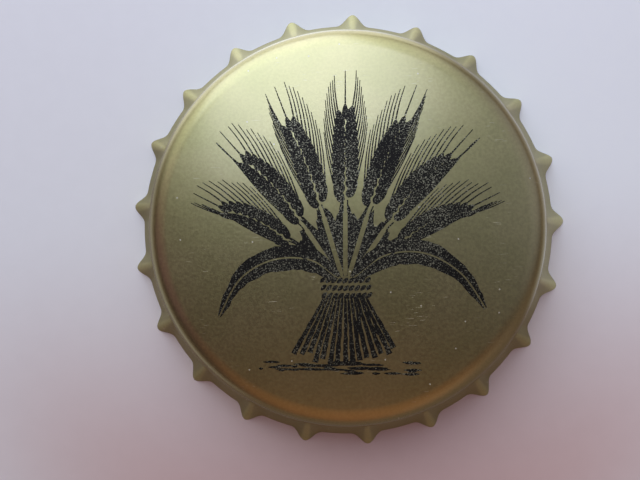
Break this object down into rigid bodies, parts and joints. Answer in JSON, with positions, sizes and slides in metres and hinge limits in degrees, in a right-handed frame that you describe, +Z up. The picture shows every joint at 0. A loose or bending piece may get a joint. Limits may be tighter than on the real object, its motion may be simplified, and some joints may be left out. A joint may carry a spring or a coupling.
{
  "type": "bottle cap",
  "caption": "Unused crown bottle cap: fluted, gold-lacquered tinplate shell with a domed top and a moulded sealing liner inside.",
  "frame": {"origin": "on the cap's axis, in the plane of the rim that the cap stands on", "axes": "+Z up along the cap's axis towards the domed top, +X through the middle of one flute"},
  "size_m": [0.0319, 0.032, 0.006],
  "materials": {
    "gold_lacquer": "satin gold lacquer over tinplate, with a fine orange-peel texture",
    "liner_compound": "off-white soft compound, satin",
    "printing_ink": "matt black printing ink on the domed top, with fine specks of the gold showing through"
  },
  "bodies": {
    "root": {"crown_shell": "gold_lacquer", "sealing_liner": "liner_compound"}
  },
  "joints": []
}
